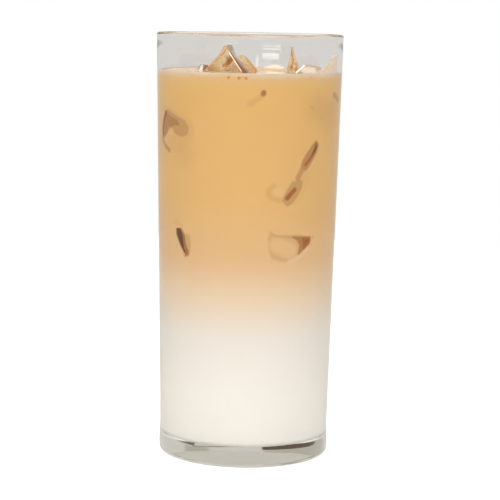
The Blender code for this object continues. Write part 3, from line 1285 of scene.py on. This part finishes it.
@dataclass
class Studio:
    """A pale floor in white surroundings, lit softly from the front left."""

    floor_radius: float = 0.60
    floor_segments: int = 96
    floor_colour: str = "#403F3D"
    floor_glow: float = 1.04
    # Painted light on the table: more glow under the glass, and less in a ring round its foot, a painted contact
    # shadow
    painted_light_under_glass: float = 1.30
    painted_shadow_glow: float = 0.75
    contact_radius: float = 0.0285
    contact_width: float = 0.0030
    floor_glow_seen: float = 0.95
    surroundings: str = "#D5D2CD"
    horizon_fade: float = 0.1
    softboxes: tuple[Softbox, ...] = (
        Softbox(-75.0, 34.0, 2.55), Softbox(-42.0, 34.0, 1.2), Softbox(-10.0, 34.0, 4.4),
        Softbox(20.0, 34.0, 2.0), Softbox(50.0, 34.0, 1.45), Softbox(78.0, 34.0, 1.5),
        Softbox(-128.0, 48.0, 1.0), Softbox(128.0, 48.0, 1.0),
    )
    cards: tuple[Card, ...] = (
        Card(-1.0, 1.0, 0.150, 0.300, 0.03, 0.0, "#C3C0B5", 0.8),
        Card(-0.85, -0.18, 0.160, 0.320, 0.010, 0.0, "#A39E8F", 0.8),
        Card(0.28, 0.47, 0.225, 0.300, 0.010, 0.0, "#A09C8D", 0.8),
        Card(0.40, 0.685, 0.155, 0.212, 0.003, 0.0, "#4A3522", 0.9),
        Card(0.0, 0.40, 0.157, 0.167, 0.004, 0.147, "#6E674F", 0.8),
        Card(-0.70, -0.15, 0.160, 0.222, 0.004, -0.02, "#4A3522", 1.0),
        Card(-0.50, -0.34, 0.050, 0.100, 0.010, 0.0, "#7D765F", 0.9),
    )
    strips: tuple[StripLight, ...] = (
        StripLight(0.27, 0.57, -0.062, -0.050, 0.004, 5.0),
        StripLight(0.27, 0.60, 0.022, 0.048, 0.006, 4.0),
        StripLight(0.13, 0.17, -0.070, -0.064, 0.003, 4.0),
    )

    def lamps(self, tree: Tree, direction: Socket) -> Socket:
        """Add up the lights' brightness in a direction.

        Args:
            tree: The world's node tree.
            direction: The direction's socket.

        Returns:
            The brightness's socket.
        """
        total = 0.0
        for box in self.softboxes:
            facing = add_node(tree, "VectorMath", {"operation": "DOT_PRODUCT"}, {
                0: direction, 1: box.direction(),
            }, output="Value")
            glow = add_node(tree, "MapRange", links={
                "Value": facing,
                "From Min": math.cos(math.radians(box.none_beyond_deg)),
                "From Max": math.cos(math.radians(box.full_within_deg)),
                "To Max": box.strength,
            })
            total = add_node(tree, "Math", {"operation": "ADD"}, {0: glow, 1: total})
        across, depth, up = (add_node(tree, "SeparateXYZ", links={"Vector": direction}, output=axis) for axis in "XYZ")
        in_front = add_node(tree, "Math", {"operation": "LESS_THAN"}, {0: depth, 1: 0.0})
        for strip in self.strips:
            cover = strip.cover(tree, across, up)
            shown = add_node(tree, "Math", {"operation": "MULTIPLY"}, {0: cover, 1: in_front})
            total = add_node(tree, "Math", {"operation": "MULTIPLY_ADD"}, {0: shown, 1: strip.strength, 2: total})
        return total

    def walls(self, tree: Tree, direction: Socket) -> Socket:
        """Colour the surroundings, with the cards behind the glass.

        Args:
            tree: The world's node tree.
            direction: The direction's socket.

        Returns:
            The colour's socket.
        """
        across, depth, up = (add_node(tree, "SeparateXYZ", links={"Vector": direction}, output=axis) for axis in "XYZ")
        behind = add_node(tree, "MapRange", links={"Value": depth, "From Max": self.horizon_fade})
        colour = linear(self.surroundings)
        for card in self.cards:
            rise = add_node(tree, "Math", {"operation": "MULTIPLY_ADD"}, {0: across, 1: -card.slope, 2: up})
            cover = card.cover(tree, across, rise)
            shown = add_node(tree, "Math", {"operation": "MULTIPLY"}, {0: cover, 1: behind})
            share = add_node(tree, "Math", {"operation": "MULTIPLY"}, {0: shown, 1: card.opacity})
            colour = add_node(tree, "Mix", {"data_type": "RGBA"}, {
                0: share, 6: colour, 7: linear(card.colour),
            }, output=2)
        return colour

    def light(self) -> None:
        """White to the camera's eye, and soft light to everything else."""
        world = bpy.data.worlds.new("white studio")
        bpy.context.scene.world = world
        world.use_nodes = True
        tree = world.node_tree
        tree.nodes.clear()
        white = linear("#FFFFFF")
        direction = add_node(tree, "TexCoord", output="Generated")
        lamps = add_node(tree, "Background", links={"Color": white, "Strength": self.lamps(tree, direction)})
        walls = add_node(tree, "Background", links={"Color": self.walls(tree, direction)})
        lit = add_node(tree, "AddShader", links={0: lamps, 1: walls})
        plain = add_node(tree, "Background", links={"Color": white, "Strength": 1.0})
        seen = add_node(tree, "LightPath", output="Is Camera Ray")
        mixed = add_node(tree, "MixShader", links={0: seen, 1: lit, 2: plain})
        add_node(tree, "OutputWorld", links={"Surface": mixed})

    def table_material(self) -> bpy.types.Material:
        """A white table top that glows: a painted pool of light under the glass, and a painted contact shadow where
        its foot stands.

        Returns:
            The material.
        """
        material, tree = new_material("matt white table top")
        matt = add_node(tree, "BsdfDiffuse", links={"Color": linear(self.floor_colour)})
        place = add_node(tree, "TexCoord", output="Object")
        radius = add_node(tree, "VectorMath", {"operation": "LENGTH"}, {0: place}, output="Value")
        # A painted contact shadow in a ring round the foot, and a painted pool of light inside it
        off_contact = add_node(tree, "Math", {"operation": "SUBTRACT"}, {0: radius, 1: self.contact_radius})
        gap = add_node(tree, "Math", {"operation": "ABSOLUTE"}, {0: off_contact})
        around = add_node(tree, "MapRange", links={
            "Value": off_contact, "From Min": -self.contact_width, "From Max": self.contact_width,
            "To Min": self.painted_light_under_glass, "To Max": self.floor_glow,
        })
        shaded = add_node(tree, "MapRange", {"interpolation_type": "SMOOTHSTEP"}, {
            "Value": gap, "From Min": self.contact_width / 2, "From Max": self.contact_width,
            "To Min": self.painted_shadow_glow, "To Max": around,
        })
        seen = add_node(tree, "LightPath", output="Is Camera Ray")
        strength = add_node(tree, "Math", {"operation": "MULTIPLY_ADD"}, {
            0: seen, 1: self.floor_glow_seen, 2: shaded,
        })
        glow = add_node(tree, "Emission", links={"Color": linear(self.surroundings), "Strength": strength})
        both = add_node(tree, "AddShader", links={0: matt, 1: glow})
        add_node(tree, "OutputMaterial", links={"Surface": both})
        return material

    def lay_floor(self) -> bpy.types.Object:
        """A round white table top that the camera sees as part of the white surroundings.

        Returns:
            The floor.
        """
        deselect_all()
        bpy.ops.mesh.primitive_circle_add(
            vertices=self.floor_segments, radius=self.floor_radius, fill_type="NGON"
        )
        floor = bpy.context.object
        floor.name = "table_top"
        floor.data.materials.append(self.table_material())
        return floor

    def set_render(self) -> None:
        """Plain colours, and enough bounces for light to cross the glass and the ice."""
        scene = bpy.context.scene
        scene.view_settings.view_transform = "Standard"
        scene.cycles.max_bounces = 24
        scene.cycles.transmission_bounces = 24
        scene.cycles.glossy_bounces = 12
        scene.cycles.diffuse_bounces = 6
        scene.cycles.transparent_max_bounces = 16

    def build(self) -> None:
        """Set up the light, the floor and the render's plain settings."""
        self.light()
        self.lay_floor()
        self.set_render()


@dataclass
class Viewpoint:
    """The camera that took the picture, 630 mm in front of the glass and looking down a little."""

    distance: float = 0.630
    height: float = 0.1584
    pitch_deg: float = 7.745
    yaw_deg: float = 0.117
    roll_deg: float = 1.06
    focal_px: float = 1770.2
    picture_px: float = 500.0
    sensor_mm: float = 36.0
    nearest: float = 0.01

    def build(self) -> bpy.types.Object:
        """Place the camera and look through it.

        Returns:
            The camera.
        """
        camera = bpy.data.objects.new("camera", bpy.data.cameras.new("camera"))
        bpy.context.scene.collection.objects.link(camera)
        camera.data.sensor_width = self.sensor_mm
        camera.data.lens = self.focal_px / self.picture_px * self.sensor_mm
        camera.data.clip_start = self.nearest
        aim = Euler((math.radians(90 - self.pitch_deg), 0, math.radians(-self.yaw_deg)))
        roll = Matrix.Rotation(math.radians(self.roll_deg), 4, "Z")
        place = Matrix.Translation((0, -self.distance, self.height))
        camera.matrix_world = place @ aim.to_matrix().to_4x4() @ roll
        bpy.context.scene.camera = camera
        return camera


# Painted highlights: a white wedge down the peak's front edge, and one across the low block
PAINTED_HIGHLIGHT_SEAMS = (
    PaintedHighlightSeam("painted_highlight_on_the_peak", (-0.0074, 0.0006, 0.1430), (-0.0029, 0.0001, 0.1365), 0.0005, 0.0007),
    PaintedHighlightSeam("painted_highlight_on_the_block", (0.0162, -0.0049, 0.1363), (0.0192, -0.0051, 0.1391), 0.0016, 0.0012, 0.6),
)


def main() -> None:
    """Build the camera and the studio, then the glass, the ice and the drink."""
    logging.basicConfig(level=logging.INFO, format="%(message)s")
    Viewpoint().build()
    Studio().build()
    glass = HighballGlass()
    glass.build()
    ice = FloatingIce()
    ice.build()
    for seam in PAINTED_HIGHLIGHT_SEAMS:
        seam.build()
    Latte(glass).build(ice.rooms)
    WallFilm(glass).build()
    Bubbles(glass).build()


if __name__ == "__main__":
    main()
